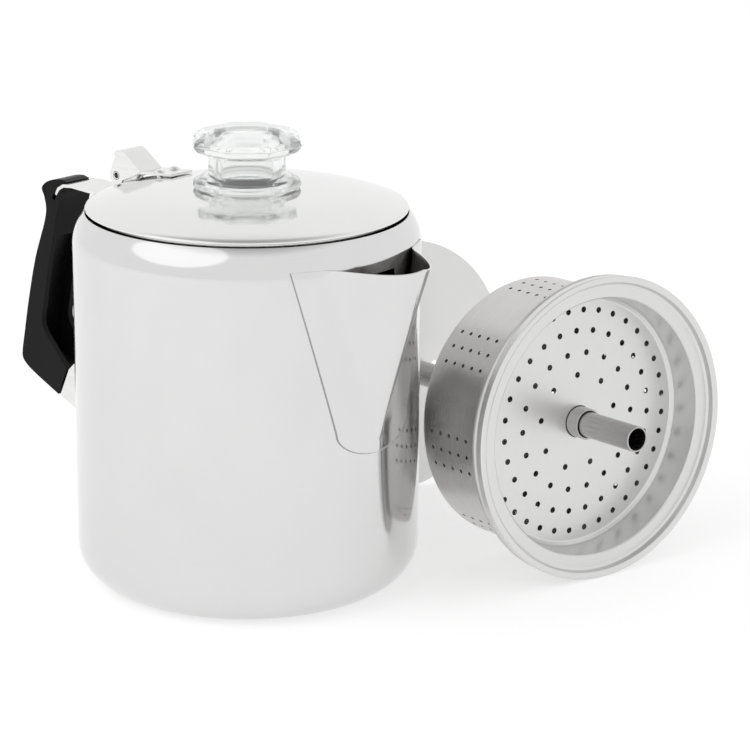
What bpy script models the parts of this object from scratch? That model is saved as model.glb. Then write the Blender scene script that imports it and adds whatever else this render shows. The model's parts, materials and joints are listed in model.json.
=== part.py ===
"""A camping coffee percolator: a pot with a hinged lid, and its brew unit lying beside it.

Metres, +Z up. The origin is the centre of the pot's flat base. The spout points along +X and
the handle along -X. The brew unit (stem, basket and basket cover) lies on its side behind the
pot's +Y side, resting on the rims of its cover and of its base disc.
"""

import math

import bmesh
import bpy
from mathutils import Matrix, Vector

MM = 0.001
GAP = 0.3 * MM

# Pot
POT_R = 66.0 * MM
WALL = 0.6 * MM
CORNER_R = 16.0 * MM
SHOULDER_Z = 132.35 * MM
SHOULDER_R = 18.47 * MM
MOUTH_R = 61.3 * MM
TURN_STEPS = 48

# Spout
SEAM_LOW_Z = 74.0 * MM
SEAM_DROP = 10.5 * MM
SEAM_LOW_ANGLE = 17.3
SEAM_TOP_Z = 136.0 * MM
SEAM_TOP_ANGLE = 33.0
NOSE_LOW_Z = 68.0 * MM
NOSE_TOP = (86.9 * MM, 136.3 * MM)
SPOUT_SHEET = 0.6 * MM
SPOUT_EDGE_DIP = 1.3 * MM
CONTACT_LOW_ANGLE = 2.0
CONTACT_TOP_ANGLE = 20.0
FREE_SHARE = 0.7
POUR_TOP_Z = 131.5 * MM
POUR_LOW_Z = 96.0 * MM
POUR_TOP_HALF = 9.0 * MM
POUR_LOW_HALF = 14.0 * MM

# Lid
LID_R = 61.0 * MM
LID_EDGE_Z = 145.6 * MM
LID_CENTRE_Z = 153.4 * MM
LID_SHEET = 0.6 * MM
SKIRT_R = 59.6 * MM
SKIRT_DROP = 5.0 * MM
KNOB_HOLE_R = 12.3 * MM
LUG_REACH = 14.8 * MM
LUG_WIDTH = 7.0 * MM
LUG_THICK = 2.0 * MM
LUG_Z = 151.2 * MM

# Hinge
PIN_X = -64.5 * MM
PIN_Z = 149.0 * MM
PIN_R = 1.5 * MM
PIN_BORE_R = 1.1 * MM
PIN_HALF = 6.0 * MM
PIN_HOLE_R = 1.7 * MM
EAR_OUT_Y = 5.9 * MM
EAR_SHEET = 1.0 * MM
RIVET_X = -42.5 * MM
RIVET_Y = (-4.0 * MM, 4.0 * MM)
RIVET_R = 1.2 * MM
DOME_SLOPE_ROOM = 0.6 * MM
LEAF_LIFT = 1.5 * MM

# Knob
KNOB_BODY = (
    (0.0, 169.5), (14.6, 169.5), (14.6, 158.6), (17.6, 157.8), (18.0, 156.6), (20.0, 156.2),
    (20.4, 154.6), (19.6, 153.8), (11.9, 153.8), (11.9, 148.6), (0.0, 148.6),
)
KNOB_HEAD = (
    (0.0, 176.0), (12.2, 176.0), (17.0, 174.9), (20.8, 172.4), (21.6, 170.4), (19.8, 168.6),
    (14.8, 167.6), (0.0, 167.6),
)
KNOB_HOLLOW = ((0.0, 166.8), (6.0, 166.4), (10.0, 165.0), (10.0, 147.0), (0.0, 147.0))

# Handle
GRIP_OUTLINE = (
    (104.6, 138.6), (103.2, 135.0), (102.3, 130.0), (103.5, 124.5), (105.6, 119.0),
    (109.6, 108.0), (113.9, 91.0), (116.8, 77.0), (118.6, 67.0), (117.6, 64.4),
    (113.0, 61.2), (97.6, 54.0), (92.4, 65.6), (99.0, 72.5), (106.0, 81.0),
    (105.0, 91.0), (101.6, 108.0), (98.8, 119.0), (96.6, 128.0), (94.8, 134.5),
    (93.4, 138.4), (92.6, 142.0), (96.0, 142.6), (102.4, 141.2),
)
GRIP_POCKET = (
    (80.0, 119.0), (102.4, 119.0), (103.8, 115.0), (107.0, 107.0), (111.2, 91.0),
    (113.8, 77.0), (115.0, 69.0), (112.0, 65.0),
    (99.5, 58.5), (96.5, 65.0), (80.0, 72.0),
)
GRIP_HALF = 8.5 * MM
GRIP_WALL = 2.4 * MM
STRAP_HALF = 8.0 * MM
STRAP_THICK = 1.3 * MM
TAB_HALF = 5.4 * MM
TANG_LINE = ((96.4, 137.6), (99.0, 134.0), (99.9, 130.0), (99.9, 122.0))
SCREW_HOLE_R = 2.3 * MM
SCREW_HEAD = ((0.0, 1.7), (1.6, 1.55), (2.9, 1.0), (3.6, 0.0), (1.9, 0.0))
UPPER_SCREW = (104.1, 127.0)
LOWER_SCREW = (105.6, 56.9)
FOOT_SLOPE = math.radians(25.0)

# Brew unit, measured along its axis from the base disc's rim
STEM_LENGTH = 150.8 * MM
TUBE_R = 5.0 * MM
TUBE_BORE_R = 4.3 * MM
DISC_R = 53.5 * MM
BASKET_LOW = 83.3 * MM
BASKET_R = 52.2 * MM
RIM_PLANE = 131.0 * MM
COVER_R = 59.7 * MM
PLATE_DEPTH = 15.0 * MM
WELL_R = 49.6 * MM
PLATE_DOME = 1.2 * MM
FLANGE_DEPTH = 2.7 * MM
SHEET = 0.5 * MM
UNIT_RIM_CENTRE = (104.5 * MM, 88.2 * MM)
UNIT_HEADING = math.radians(-12.9)
REST_GAP = 0.05 * MM
COVER_RINGS = ((18.5 * MM, 9), (27.2 * MM, 18), (36.0 * MM, 27), (44.0 * MM, 36))
FLOOR_RINGS = ((14.0 * MM, 9), (24.0 * MM, 16), (34.0 * MM, 22), (44.0 * MM, 28))
INLET_RING = ((12.5 * MM, 2),)
INLET_HEIGHT = 6.0 * MM
SIDE_GROUPS = 8
SIDE_START = math.radians(-83.0)
SIDE_ROWS = 3
SIDE_COLUMNS = 5
SIDE_ROW_STEP = 6.6 * MM
SIDE_COLUMN_STEP = 5.3 * MM
SIDE_FIRST = 7.5 * MM

STEEL = (0.80, 0.80, 0.79)


def clear_scene():
    for obj in list(bpy.data.objects):
        bpy.data.objects.remove(obj, do_unlink=True)


def collection(name):
    made = bpy.data.collections.new(name)
    bpy.context.scene.collection.children.link(made)
    return made


def material(name, colour, roughness, metallic=0.0, transmission=0.0):
    made = bpy.data.materials.new(name)
    made.use_nodes = True
    shader = made.node_tree.nodes["Principled BSDF"]
    shader.inputs["Base Color"].default_value = (*colour, 1.0)
    shader.inputs["Roughness"].default_value = roughness
    shader.inputs["Metallic"].default_value = metallic
    shader.inputs["Transmission Weight"].default_value = transmission
    return made


def add_object(name, mesh, group, finish=None, parent=None):
    obj = bpy.data.objects.new(name, mesh)
    group.objects.link(obj)
    obj.parent = parent
    if finish:
        mesh.materials.append(finish)
    return obj


def as_cutter(obj):
    obj.hide_render = True
    obj.display_type = "WIRE"
    return obj


def smooth(obj, angle=35.0):
    obj.data.shade_smooth()
    obj.data.set_sharp_from_angle(angle=math.radians(angle))


def boolean(obj, other, operation):
    modifier = obj.modifiers.new(operation.title(), "BOOLEAN")
    modifier.operation = operation
    modifier.solver = "EXACT"
    modifier.object = other


def arc(centre, radius, start, end, steps):
    """Points (r, z) on an arc, angles in degrees from +r towards +z."""
    points = []
    for i in range(steps + 1):
        a = math.radians(start + (end - start) * i / steps)
        points.append((centre[0] + radius * math.cos(a), centre[1] + radius * math.sin(a)))
    return points


def turned(name, profile, group, finish=None, parent=None, steps=TURN_STEPS):
    """A profile of (r, z) points turned about local Z. A profile off the axis is a closed loop."""
    mesh = bpy.data.meshes.new(name)
    edges = [(i, i + 1) for i in range(len(profile) - 1)]
    if profile[0][0] > 0:
        edges.append((len(profile) - 1, 0))
    mesh.from_pydata([(r, 0.0, z) for r, z in profile], edges, [])
    obj = add_object(name, mesh, group, finish, parent)
    screw = obj.modifiers.new("Turn", "SCREW")
    screw.axis = "Z"
    screw.steps = steps
    screw.render_steps = steps
    screw.use_merge_vertices = True
    screw.merge_threshold = 0.00001
    screw.use_smooth_shade = True
    return obj


def ring(name, r_in, r_out, z_low, z_high, group, finish, parent, steps=32):
    """A plain tube along local Z."""
    profile = [(r_out, z_high), (r_out, z_low), (r_in, z_low), (r_in, z_high)]
    return turned(name, profile, group, finish, parent, steps)


def slab(name, outlines, half, group, finish=None, bevel=0.0):
    """Outlines of (x, z) points, extruded along Y to the given half width."""
    curve = bpy.data.curves.new(name, "CURVE")
    curve.dimensions = "2D"
    curve.fill_mode = "BOTH"
    curve.extrude = half
    for outline in outlines:
        spline = curve.splines.new("POLY")
        spline.points.add(len(outline) - 1)
        for point, (x, z) in zip(spline.points, outline):
            point.co = (x, z, 0.0, 1.0)
        spline.use_cyclic_u = True
    guide = bpy.data.objects.new(name + "_outline", curve)
    group.objects.link(guide)
    guide.rotation_euler.x = math.radians(90.0)
    bpy.context.view_layer.update()
    graph = bpy.context.evaluated_depsgraph_get()
    mesh = bpy.data.meshes.new_from_object(guide.evaluated_get(graph))
    mesh.transform(guide.matrix_world)
    work = bmesh.new()
    work.from_mesh(mesh)
    bmesh.ops.remove_doubles(work, verts=work.verts, dist=0.00001)
    bmesh.ops.recalc_face_normals(work, faces=work.faces)
    work.to_mesh(mesh)
    work.free()
    mesh.name = name
    bpy.data.objects.remove(guide, do_unlink=True)
    obj = add_object(name, mesh, group, finish)
    if bevel:
        rounding = obj.modifiers.new("Round", "BEVEL")
        rounding.width = bevel
        rounding.segments = 2
        rounding.limit_method = "ANGLE"
        rounding.angle_limit = math.radians(50.0)
    return obj


def rods(name, places, radius, depth, sides, group, parent=None):
    """One cutter mesh of many small cylinders: each place is a matrix whose Z is the hole's axis."""
    work = bmesh.new()
    for place in places:
        bmesh.ops.create_cone(
            work,
            cap_ends=True,
            segments=sides,
            radius1=radius,
            radius2=radius,
            depth=depth,
            matrix=place,
        )
    mesh = bpy.data.meshes.new(name)
    work.to_mesh(mesh)
    work.free()
    return as_cutter(add_object(name, mesh, group, parent=parent))


def block(name, size, height, group):
    """A box-shaped cutter on the pot's axis, centred at a height."""
    work = bmesh.new()
    place = Matrix.Translation((0.0, 0.0, height)) @ Matrix.Diagonal((*size, 1.0))
    bmesh.ops.create_cube(work, size=1.0, matrix=place)
    mesh = bpy.data.meshes.new(name)
    work.to_mesh(mesh)
    work.free()
    return as_cutter(add_object(name, mesh, group))


def in_metres(points):
    return [(r * MM, z * MM) for r, z in points]


def mirrored_x(points):
    """Outline points given as (distance from the pot's axis, z), on the handle's side."""
    return [(-r * MM, z * MM) for r, z in points]


def band(points, thickness):
    """A closed outline of even thickness along a line of (x, z) points."""
    left = []
    right = []
    for i, (x, z) in enumerate(points):
        before = points[max(i - 1, 0)]
        after = points[min(i + 1, len(points) - 1)]
        along = Vector((after[0] - before[0], after[1] - before[1])).normalized()
        side = Vector((-along.y, along.x)) * thickness / 2
        left.append((x + side.x, z + side.y))
        right.append((x - side.x, z - side.y))
    return left + right[::-1]


# ---------------------------------------------------------------- pot


def shoulder_radius(z):
    """The pot's outer radius at a height, on its wall or its rounded shoulder."""
    rise = max(0.0, z - SHOULDER_Z)
    inner = POT_R - SHOULDER_R
    return inner + math.sqrt(max(0.0, SHOULDER_R**2 - rise**2))


def make_pot_shell(group, cutters, finish):
    centre = (POT_R - SHOULDER_R, SHOULDER_Z)
    end_angle = math.degrees(math.acos((MOUTH_R - centre[0]) / SHOULDER_R))
    base = (POT_R - CORNER_R, CORNER_R)
    inside = [(0.0, WALL)]
    inside += arc(base, CORNER_R - WALL, -90.0, 0.0, 4)
    inside += arc(centre, SHOULDER_R - WALL, 0.0, end_angle, 4)
    outside = arc(centre, SHOULDER_R, end_angle, 0.0, 5)
    outside += arc(base, CORNER_R, 0.0, -90.0, 5)
    outside.append((0.0, 0.0))
    shell = turned("pot_shell", inside + outside, group, finish)
    outline = [
        (-POUR_LOW_HALF, POUR_LOW_Z),
        (POUR_LOW_HALF, POUR_LOW_Z),
        (POUR_TOP_HALF, POUR_TOP_Z),
        (-POUR_TOP_HALF, POUR_TOP_Z),
    ]
    cutter = as_cutter(slab("pour_opening", [outline], 10.0 * MM, cutters))
    cutter.rotation_euler.z = math.radians(90.0)
    cutter.location.x = POT_R
    boolean(shell, cutter, "DIFFERENCE")
    return shell


def seam_angle(z):
    """Half-angle of the spout's seam on the pot's wall, in degrees."""
    slope = (SEAM_TOP_ANGLE - SEAM_LOW_ANGLE) / (SEAM_TOP_Z - SEAM_LOW_Z)
    if z >= SEAM_LOW_Z:
        return SEAM_LOW_ANGLE + slope * (z - SEAM_LOW_Z)
    depth = min(1.0, (SEAM_LOW_Z - z) / SEAM_DROP)
    return SEAM_LOW_ANGLE * math.sqrt(1.0 - depth**2)


def contact_angle(z):
    """Half-angle, in degrees, at which the spout's sheet leaves the pot's wall."""
    rise = max(0.0, z - SEAM_LOW_Z) / (SEAM_TOP_Z - SEAM_LOW_Z)
    widest = CONTACT_LOW_ANGLE + (CONTACT_TOP_ANGLE - CONTACT_LOW_ANGLE) * rise
    return min(seam_angle(z), widest)


def spout_top(share):
    """Height of the spout's top edge, from the nose (0) to the seam (1)."""
    level = NOSE_TOP[1] + (SEAM_TOP_Z - NOSE_TOP[1]) * share
    free = min(1.0, share / FREE_SHARE)
    return level - SPOUT_EDGE_DIP * math.sin(math.pi * free) * (1.0 - free / 2)


def spout_section(z, share):
    """The point (x, y) of the spout's inner face at a height, from the nose (0) to the seam (1)."""
    rise = max(0.0, z - NOSE_LOW_Z) / (NOSE_TOP[1] - NOSE_LOW_Z)
    nose = POT_R + GAP + (NOSE_TOP[0] - POT_R - GAP) * rise**1.06
    foot = shoulder_radius(z) + GAP
    angle = math.radians(contact_angle(z))
    if share > FREE_SHARE:
        spare = math.radians(seam_angle(z) - contact_angle(z))
        angle += spare * (share - FREE_SHARE) / (1.0 - FREE_SHARE)
        return Vector((foot * math.cos(angle), foot * math.sin(angle)))
    share = share / FREE_SHARE
    seam = Vector((foot * math.cos(angle), foot * math.sin(angle)))
    rounding = 0.3 + 0.62 * rise**4
    corner = Vector(((nose - seam.x * rounding / 2) / (1.0 - rounding / 2), 0.0))
    start = corner.lerp(seam, rounding)
    if share >= rounding:
        point = start.lerp(seam, (share - rounding) / (1.0 - rounding))
    else:
        t = 0.5 + 0.5 * share / rounding
        mirror = Vector((start.x, -start.y))
        point = (1 - t) ** 2 * mirror + 2 * t * (1 - t) * corner + t**2 * start
    if point.length < foot:
        point = point.normalized() * foot
    return point


def make_spout(group, finish):
    across = 20
    up = 12
    points = []
    for j in range(up + 1):
        for i in range(across + 1):
            u = 2.0 * i / across - 1.0
            low = SEAM_LOW_Z - SEAM_DROP * math.sqrt(1.0 - u**2)
            z = low + (spout_top(abs(u)) - low) * (j / up) ** 1.15
            outline = seam_angle(z)
            nominal = max(outline, SEAM_LOW_ANGLE) * abs(u)
            share = 1.0 if outline < 0.01 else min(1.0, nominal / outline)
            point = spout_section(z, share)
            points.append((point.x, math.copysign(point.y, u), z))
    faces = []
    for j in range(up):
        for i in range(across):
            a = j * (across + 1) + i
            faces.append((a, a + 1, a + across + 2, a + across + 1))
    mesh = bpy.data.meshes.new("spout")
    mesh.from_pydata(points, [], faces)
    obj = add_object("spout", mesh, group, finish)
    sheet = obj.modifiers.new("Sheet", "SOLIDIFY")
    sheet.thickness = SPOUT_SHEET
    sheet.offset = 1.0
    smooth(obj, 60.0)
    return obj


# ---------------------------------------------------------------- handle


def make_grip(group, cutters, finish):
    outline = mirrored_x(GRIP_OUTLINE)
    grip = slab("handle_grip", [outline], GRIP_HALF, group, finish, bevel=1.0 * MM)
    hollow = slab("grip_hollow", [mirrored_x(GRIP_POCKET)], GRIP_HALF - GRIP_WALL, cutters)
    boolean(grip, as_cutter(hollow), "DIFFERENCE")
    strap_path = mirrored_x(((98.0, 134.6),)) + strap_line()
    slot = slab("grip_slot", [band(strap_path, STRAP_THICK + 2 * GAP)], 12.0 * MM, cutters)
    boolean(grip, as_cutter(slot), "DIFFERENCE")
    tang = band(mirrored_x(TANG_LINE[:-1] + ((99.9, 121.6),)), STRAP_THICK + 2 * GAP)
    tang_slot = slab("grip_tang_slot", [tang], TAB_HALF + GAP, cutters)
    boolean(grip, as_cutter(tang_slot), "DIFFERENCE")
    tongue = band(mirrored_x(((86.0, 55.4), (111.0, 67.1))), STRAP_THICK + 2 * GAP)
    tongue_slot = slab("grip_tongue_slot", [tongue], TAB_HALF + GAP, cutters)
    boolean(grip, as_cutter(tongue_slot), "DIFFERENCE")
    return grip


def strap_line():
    return mirrored_x(((97.0, 136.6), (95.4, 139.2), (92.6, 140.8), (88.0, 141.3), (78.0, 140.8)))


def make_upper_bracket(group, cutters, finish):
    plate_line = strap_line() + mirrored_x(((65.3, 139.9),))
    plate = slab("handle_upper_bracket", [band(plate_line, STRAP_THICK)], STRAP_HALF, group, finish)
    post = mirrored_x(((75.0, 140.0), (69.0, 143.8)))
    post += [(PIN_X + r, PIN_Z + z) for r, z in arc((0, 0), 2.9 * MM, 215.0, -20.0, 10)]
    post += mirrored_x(((66.6, 143.4), (69.4, 139.8)))
    knuckle = slab("bracket_knuckle", [post], 4.4 * MM, cutters)
    boolean(plate, as_cutter(knuckle), "UNION")
    tang = band(mirrored_x(TANG_LINE), STRAP_THICK)
    tab = slab("bracket_tab", [tang], TAB_HALF, cutters)
    boolean(plate, as_cutter(tab), "UNION")
    return plate


def make_lower_bracket(group, cutters, finish):
    outline = ((97.0, 53.7), (91.7, 65.4), (88.0, 68.9), (66.5, 72.0), (66.5, 38.0), (89.0, 50.2))
    bracket = slab("handle_lower_bracket", [mirrored_x(outline)], STRAP_HALF, group, finish)
    hollow = ((110.0, 60.6), (88.6, 51.6), (69.4, 41.2), (67.7, 41.2), (67.7, 90.0), (110.0, 90.0))
    channel = slab("bracket_channel", [mirrored_x(hollow)], STRAP_HALF - 1.2 * MM, cutters)
    boolean(bracket, as_cutter(channel), "DIFFERENCE")
    tongue = band(mirrored_x(((85.0, 49.1), (90.5, 57.5), (110.0, 66.6))), STRAP_THICK)
    tab = slab("bracket_tongue", [tongue], TAB_HALF, cutters)
    boolean(bracket, as_cutter(tab), "UNION")
    return bracket


def screw_place(point, tilt):
    """A matrix whose +Z points out of the grip, at a point (distance, z), tilted down by an angle."""
    where = Matrix.Translation((-point[0] * MM, 0.0, point[1] * MM))
    return where @ Matrix.Rotation(-math.pi / 2 - tilt, 4, "Y")


def make_screw(name, place, length, group, finish):
    outline = [*SCREW_HEAD, (1.9, 0.3 - length), (0.0, -length)]
    screw = turned(name, in_metres(outline), group, finish, steps=20)
    screw.matrix_world = place
    return screw


def make_handle(group, cutters, finishes):
    grip = make_grip(group, cutters, finishes["grip"])
    upper = make_upper_bracket(group, cutters, finishes["steel"])
    lower = make_lower_bracket(group, cutters, finishes["steel"])
    for name, point, tilt, length, bracket in (
        ("handle_upper_screw", UPPER_SCREW, 0.0, 5.6, upper),
        ("handle_lower_screw", LOWER_SCREW, math.pi / 2 - FOOT_SLOPE, 8.6, lower),
    ):
        place = screw_place(point, tilt)
        make_screw(name, place, length, group, finishes["steel"])
        depth = 2 * (length + 0.4) * MM
        drill = rods(name + "_hole", [place], SCREW_HOLE_R, depth, 16, cutters)
        boolean(grip, drill, "DIFFERENCE")
        boolean(bracket, drill, "DIFFERENCE")
    pin_hole = rods("knuckle_hole", [pin_place()], PIN_HOLE_R, 30.0 * MM, 20, cutters)
    boolean(upper, pin_hole, "DIFFERENCE")
    pin_size = (PIN_BORE_R, PIN_R, -PIN_HALF, PIN_HALF)
    pin = ring("hinge_pin", *pin_size, group, finishes["steel"], None, 20)
    pin.matrix_world = pin_place()


# ---------------------------------------------------------------- lid


def pin_place():
    """The hinge's axis: local Z along world Y."""
    return Matrix.Translation((PIN_X, 0.0, PIN_Z)) @ Matrix.Rotation(math.pi / 2, 4, "X")


def lid_top(r):
    """Height of the lid's top face at a distance from the centre."""
    edge = LID_EDGE_Z + 2 * LID_SHEET
    return edge + (LID_CENTRE_Z - edge) * (1.0 - (r / LID_R) ** 3.6)


def make_lid_plate(group, cutters, finish, hinge):
    stations = [KNOB_HOLE_R + (LID_R - 0.5 * MM - KNOB_HOLE_R) * (i / 6) ** 0.6 for i in range(7)]
    top = [(r, lid_top(r)) for r in stations]
    hem = LID_R - 1.1 * MM
    edge = [(LID_R, LID_EDGE_Z + LID_SHEET), (LID_R, LID_EDGE_Z), (hem, LID_EDGE_Z)]
    inner = [(r, lid_top(r) - LID_SHEET) for r in [*stations[:-1], hem]]
    plate = turned("lid_plate", top + edge + inner[::-1], group, finish)
    across = 2 * (LUG_REACH + GAP)
    notches = block("lug_notches", (LUG_WIDTH + 1.0 * MM, across, 8.0 * MM), LUG_Z, cutters)
    boolean(plate, notches, "DIFFERENCE")
    for y in RIVET_Y:
        place = Matrix.Translation((RIVET_X, y, lid_top(-RIVET_X)))
        hole = rods("rivet_hole", [place], RIVET_R + GAP, 8.0 * MM, 12, cutters)
        boolean(plate, hole, "DIFFERENCE")
    on_hinge(plate, hinge)
    return plate


def on_hinge(obj, hinge):
    """Parents an object to the hinge's empty and keeps it where it is."""
    obj.parent = hinge
    obj.matrix_parent_inverse = hinge.matrix_world.inverted()


def make_hinge_leaf(group, cutters, finish, hinge):
    ears = mirrored_x(
        ((66.4, 157.4), (64.4, 158.9), (61.8, 159.3), (60.0, 158.5), (51.0, 152.2), (53.2, 150.8))
    )
    ears += [(PIN_X + r, PIN_Z + z) for r, z in arc((0, 0), 3.7 * MM, -25.0, -190.0, 10)]
    leaf = slab("lid_hinge_leaf", [ears], EAR_OUT_Y, group, finish)
    inside = mirrored_x(((75.0, 157.9), (61.6, 157.9), (60.2, 157.4), (49.0, 149.5), (49.0, 130.0)))
    inside += mirrored_x(((75.0, 130.0),))
    room = slab("leaf_room", [inside], EAR_OUT_Y - EAR_SHEET, cutters)
    boolean(leaf, as_cutter(room), "DIFFERENCE")
    stations = (54.6, 50.0, 46.0, 42.0, 38.0, 34.5)
    lift = [LEAF_LIFT * ((r - stations[-1]) / (stations[0] - stations[-1])) ** 1.5 for r in stations]
    under = [(-r * MM, lid_top(r * MM) + GAP + rise) for r, rise in zip(stations, lift)]
    over = [(x, z + EAR_SHEET) for x, z in under]
    strap = slab("leaf_strap", [over + under[::-1]], EAR_OUT_Y - 0.2 * MM, cutters)
    boolean(leaf, as_cutter(strap), "UNION")
    boolean(leaf, rods("ear_hole", [pin_place()], PIN_HOLE_R, 30.0 * MM, 20, cutters), "DIFFERENCE")
    for side, y in zip(("near", "far"), RIVET_Y):
        low = lid_top(-RIVET_X) - LID_SHEET - GAP - DOME_SLOPE_ROOM
        high = lid_top(-RIVET_X) + 2 * GAP + EAR_SHEET + DOME_SLOPE_ROOM
        place = Matrix.Translation((RIVET_X, y, low))
        boolean(leaf, rods("leaf_hole", [place], RIVET_R + GAP, 12.0 * MM, 12, cutters), "DIFFERENCE")
        tall = high - low
        body = [
            (0.0, tall + 0.9 * MM), (1.4 * MM, tall + 0.7 * MM), (2.2 * MM, tall),
            (RIVET_R, tall), (RIVET_R, 0.0), (2.0 * MM, 0.0), (2.0 * MM, -0.6 * MM),
            (0.0, -0.6 * MM),
        ]
        rivet = turned("leaf_rivet_" + side, body, group, finish, steps=16)
        rivet.location = (RIVET_X, y, low)
        bpy.context.view_layer.update()
        on_hinge(rivet, hinge)
    on_hinge(leaf, hinge)
    return leaf


def make_knob(group, cutters, finish, hinge):
    knob = turned("knob", in_metres(KNOB_BODY), group, finish, steps=32)
    crown = turned("knob_head", in_metres(KNOB_HEAD), cutters, steps=8)
    crown.rotation_euler.z = math.radians(22.5)
    boolean(knob, as_cutter(crown), "UNION")
    lugs = block("knob_lugs", (2 * LUG_REACH, LUG_WIDTH, LUG_THICK), LUG_Z, cutters)
    boolean(knob, lugs, "UNION")
    bore = turned("knob_bore", in_metres(KNOB_HOLLOW), cutters, steps=32)
    boolean(knob, as_cutter(bore), "DIFFERENCE")
    on_hinge(knob, hinge)
    return knob


def make_lid(group, cutters, finishes):
    hinge = bpy.data.objects.new("lid_hinge_axis", None)
    group.objects.link(hinge)
    hinge.location = (PIN_X, 0.0, PIN_Z)
    bpy.context.view_layer.update()
    make_lid_plate(group, cutters, finishes["steel"], hinge)
    size = (SKIRT_R - LID_SHEET, SKIRT_R, LID_EDGE_Z - SKIRT_DROP, LID_EDGE_Z + 0.7 * MM)
    skirt = ring("lid_skirt", *size, group, finishes["steel"], None, TURN_STEPS)
    on_hinge(skirt, hinge)
    make_hinge_leaf(group, cutters, finishes["steel"], hinge)
    make_knob(group, cutters, finishes["glass"], hinge)


# ---------------------------------------------------------------- brew unit


def unit_frame(group):
    """An empty at the base disc's rim plane, its Z along the stem towards the tip."""
    pitch = math.atan2(COVER_R - DISC_R, RIM_PLANE)
    level = math.cos(pitch)
    along = Vector((math.cos(UNIT_HEADING) * level, math.sin(UNIT_HEADING) * level, math.sin(pitch)))
    rim = Vector((*UNIT_RIM_CENTRE, COVER_R * level + REST_GAP))
    frame = bpy.data.objects.new("brew_unit_axis", None)
    group.objects.link(frame)
    frame.location = rim - along * RIM_PLANE
    frame.rotation_euler = (0.0, math.pi / 2 - pitch, UNIT_HEADING)
    bpy.context.view_layer.update()
    return frame


def ring_places(rings, height):
    """Places for holes parallel to the axis, on circles of (radius, count)."""
    places = []
    for radius, count in rings:
        for i in range(count):
            a = 2.0 * math.pi * (i + 0.5) / count
            places.append(Matrix.Translation((radius * math.cos(a), radius * math.sin(a), height)))
    return places


def side_places():
    """Places for the radial holes in the basket's side, in groups of rows and columns."""
    places = []
    for group in range(SIDE_GROUPS):
        for row in range(SIDE_ROWS):
            swing = (row - (SIDE_ROWS - 1) / 2) * SIDE_ROW_STEP / BASKET_R
            angle = SIDE_START - group * 2.0 * math.pi / SIDE_GROUPS + swing
            for column in range(SIDE_COLUMNS):
                height = BASKET_LOW + SIDE_FIRST + column * SIDE_COLUMN_STEP
                turn = Matrix.Rotation(angle, 4, "Z") @ Matrix.Translation((BASKET_R, 0, height))
                places.append(turn @ Matrix.Rotation(math.pi / 2, 4, "Y"))
    return places


def make_stem(group, cutters, finish, frame):
    ring("stem_tube", TUBE_BORE_R, TUBE_R, 1.5 * MM, STEM_LENGTH, group, finish, frame, 24)
    over = [(5.3, 10.4), (6.4, 10.4), (6.7, 7.8), (14.0, 6.8), (46.0, 3.0), (51.4, 1.7), (53.4, 0.7)]
    under = [(53.5, 0.0), (52.9, 0.0), (51.1, 1.1), (46.0, 2.4), (13.6, 6.2), (5.3, 7.0)]
    profile = [(r * MM, z * MM) for r, z in over + under]
    base = turned("stem_base", profile, group, finish, frame)
    places = ring_places(INLET_RING, INLET_HEIGHT)
    inlets = rods("inlet_holes", places, 2.0 * MM, 6.0 * MM, 8, cutters, frame)
    boolean(base, inlets, "DIFFERENCE")
    stop = (TUBE_R + GAP, 6.9 * MM, 79.6 * MM, BASKET_LOW - 0.4 * MM)
    ring("stem_stop_ring", *stop, group, finish, frame, 24)


def make_basket(group, cutters, finish, frame):
    low = BASKET_LOW
    r = BASKET_R
    inside = [(6.5 * MM, low + SHEET), (r - 2.2 * MM, low + SHEET), (r - SHEET, low + 2.2 * MM)]
    inside += [(r - SHEET, 126.9 * MM), (58.6 * MM, 126.9 * MM), (59.3 * MM, 126.2 * MM)]
    outside = [(59.3 * MM, 125.0 * MM), (58.8 * MM, 125.0 * MM), (58.4 * MM, 126.4 * MM)]
    outside += [(r, 126.4 * MM), (r, low + 2.0 * MM), (r - 2.0 * MM, low), (6.5 * MM, low)]
    shell = turned("basket_shell", inside + outside, group, finish, frame)
    shell.rotation_euler.z = SIDE_START - math.pi / TURN_STEPS
    floor = rods("floor_holes", ring_places(FLOOR_RINGS, low), 0.9 * MM, 4 * MM, 5, cutters, frame)
    boolean(shell, floor, "DIFFERENCE")
    side = rods("side_holes", side_places(), 0.75 * MM, 4 * MM, 5, cutters, frame)
    boolean(shell, side, "DIFFERENCE")
    ring("basket_sleeve", TUBE_R + GAP, 6.2 * MM, low, low + 30.0 * MM, group, finish, frame, 24)


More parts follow.
